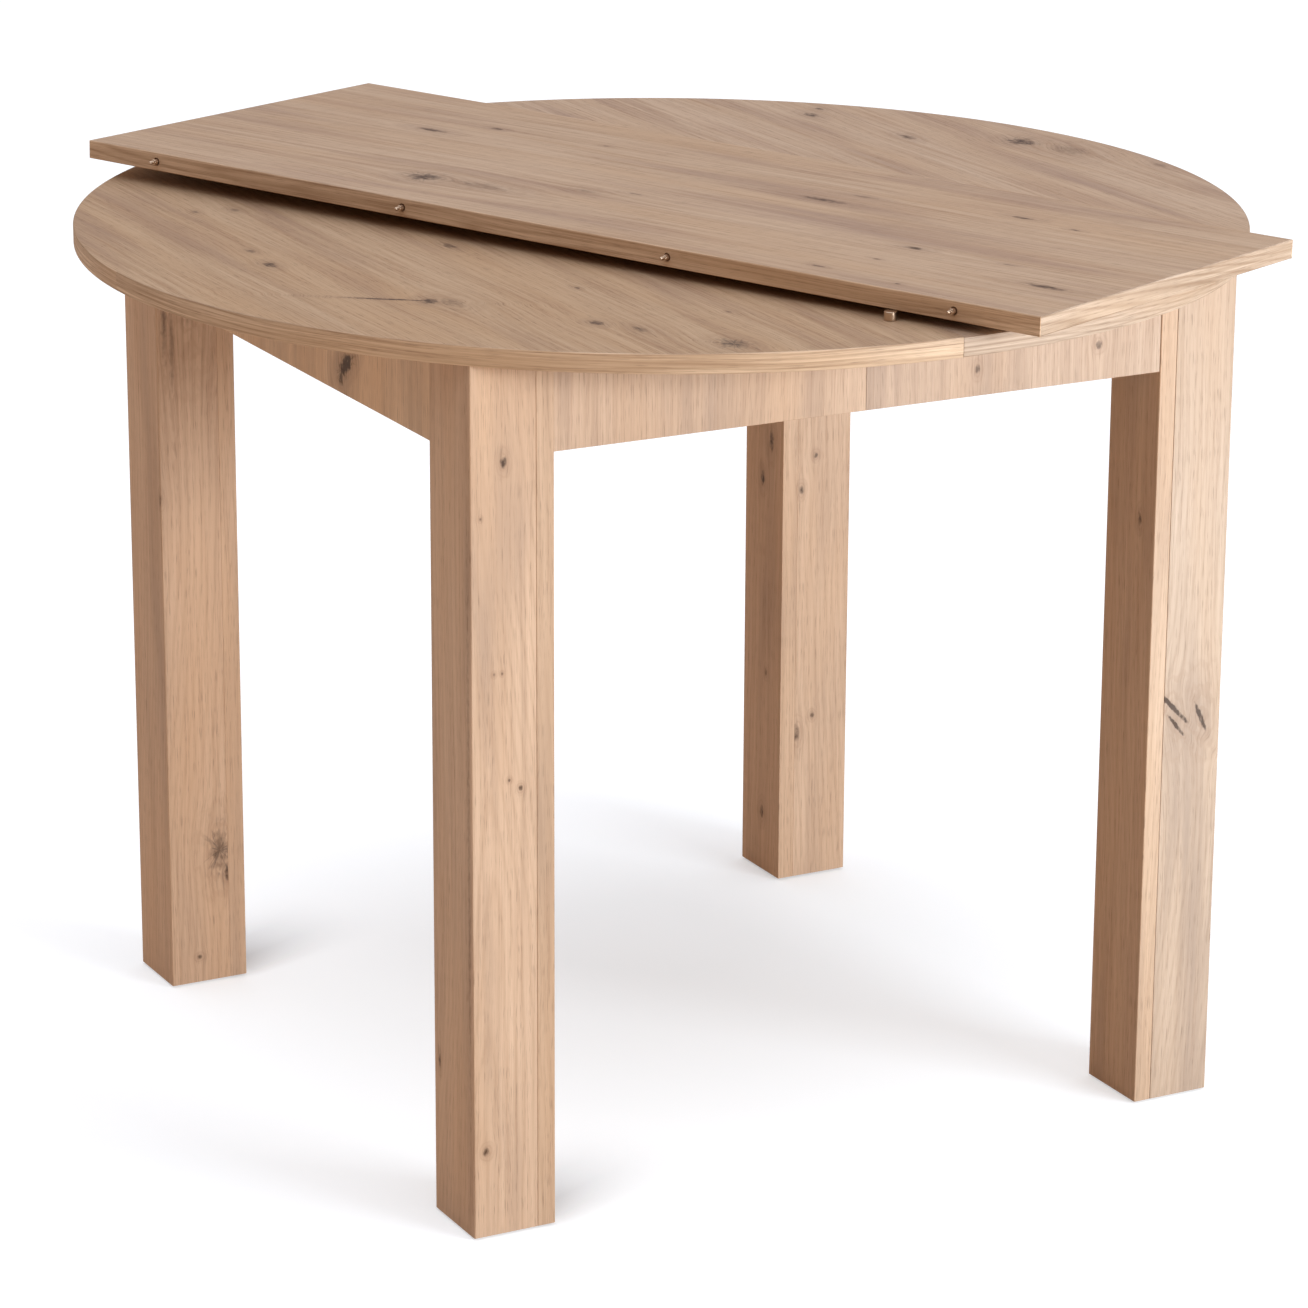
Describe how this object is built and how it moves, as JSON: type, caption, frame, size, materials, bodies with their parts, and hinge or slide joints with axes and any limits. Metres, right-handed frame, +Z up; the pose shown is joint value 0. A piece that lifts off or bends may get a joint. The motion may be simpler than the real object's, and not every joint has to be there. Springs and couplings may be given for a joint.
{
  "type": "extending dining table",
  "caption": "Round dining table on square legs whose halves slide apart on wooden slides for a loose leaf, shown lying on the closed top.",
  "frame": {"origin": "on the floor, under the middle of the closed round top", "axes": "+X is the way half B slides out, +Y runs along the seam between the halves, +Z is up"},
  "size_m": [0.9998, 1.0657, 0.7756],
  "materials": {
    "oak_top_laminate": "satin",
    "oak_leg_laminate": "satin",
    "oak_edge_band": "satin",
    "beech": "planed and waxed",
    "softwood": "sawn",
    "glide_plastic": "moulded",
    "nickel_pins": "nickel over brass, satin",
    "zinc_steel": "zinc plated"
  },
  "bodies": {
    "half_a": {"half_top_a": "oak_top_laminate", "rim_band_a": "oak_edge_band", "seam_band_a": "oak_edge_band", "pin_bushes_a": "nickel_pins", "side_apron_a": "oak_leg_laminate", "end_apron_a_front": "oak_leg_laminate", "leg_shell_a_front": "oak_leg_laminate", "leg_closing_board_a_front": "oak_leg_laminate", "slide_bar_a_front": "beech", "end_apron_a_rear": "oak_leg_laminate", "leg_shell_a_rear": "oak_leg_laminate", "leg_closing_board_a_rear": "oak_leg_laminate", "slide_bar_a_rear": "beech", "leg_top_blocks_a": "softwood", "foot_plugs_a": "softwood", "foot_glides_a": "glide_plastic", "corner_plates_a": "zinc_steel", "leg_bolts_a": "zinc_steel", "leg_nuts_a": "zinc_steel", "plate_screws_a": "zinc_steel", "angle_brackets_a": "zinc_steel", "bracket_screws_a": "zinc_steel", "slide_screws_a": "zinc_steel", "leaf_pegs": "nickel_pins"},
    "half_b": {"half_top_b": "oak_top_laminate", "rim_band_b": "oak_edge_band", "seam_band_b": "oak_edge_band", "locating_pins_b": "nickel_pins", "side_apron_b": "oak_leg_laminate", "end_apron_b_front": "oak_leg_laminate", "leg_shell_b_front": "oak_leg_laminate", "leg_closing_board_b_front": "oak_leg_laminate", "slide_bar_b_front": "beech", "end_apron_b_rear": "oak_leg_laminate", "leg_shell_b_rear": "oak_leg_laminate", "leg_closing_board_b_rear": "oak_leg_laminate", "slide_bar_b_rear": "beech", "leg_top_blocks_b": "softwood", "foot_plugs_b": "softwood", "foot_glides_b": "glide_plastic", "corner_plates_b": "zinc_steel", "leg_bolts_b": "zinc_steel", "leg_nuts_b": "zinc_steel", "plate_screws_b": "zinc_steel", "angle_brackets_b": "zinc_steel", "bracket_screws_b": "zinc_steel", "slide_screws_b": "zinc_steel"},
    "centre_bar_front": {"slide_centre_bar_front": "beech", "slide_stop_pin_front": "zinc_steel"},
    "centre_bar_rear": {"slide_centre_bar_rear": "beech", "slide_stop_pin_rear": "zinc_steel"},
    "leaf": {"leaf_board": "oak_top_laminate", "leaf_pin_edge_band": "oak_edge_band", "leaf_bush_edge_band": "oak_edge_band", "leaf_end_band_front": "oak_edge_band", "leaf_end_band_rear": "oak_edge_band", "leaf_pins": "nickel_pins", "leaf_bushes": "nickel_pins"}
  },
  "joints": [
    {"name": "table_extension", "type": "slide", "parent": "half_a", "child": "half_b", "axis": [1, 0, 0], "range_m": [0, 0.3764]},
    {"name": "front_slide", "type": "slide", "parent": "half_a", "child": "centre_bar_front", "axis": [1, 0, 0], "range_m": [0, 0.1882]},
    {"name": "rear_slide", "type": "slide", "parent": "half_a", "child": "centre_bar_rear", "axis": [1, 0, 0], "range_m": [0, 0.1882]},
    {"name": "leaf_lift", "type": "slide", "parent": "half_a", "child": "leaf", "axis": [0, 0, 1], "range_m": [0, 0.25]}
  ],
  "couplings": [
    {"joint": "front_slide", "follows": "table_extension", "ratio": 0.5},
    {"joint": "rear_slide", "follows": "table_extension", "ratio": 0.5}
  ]
}
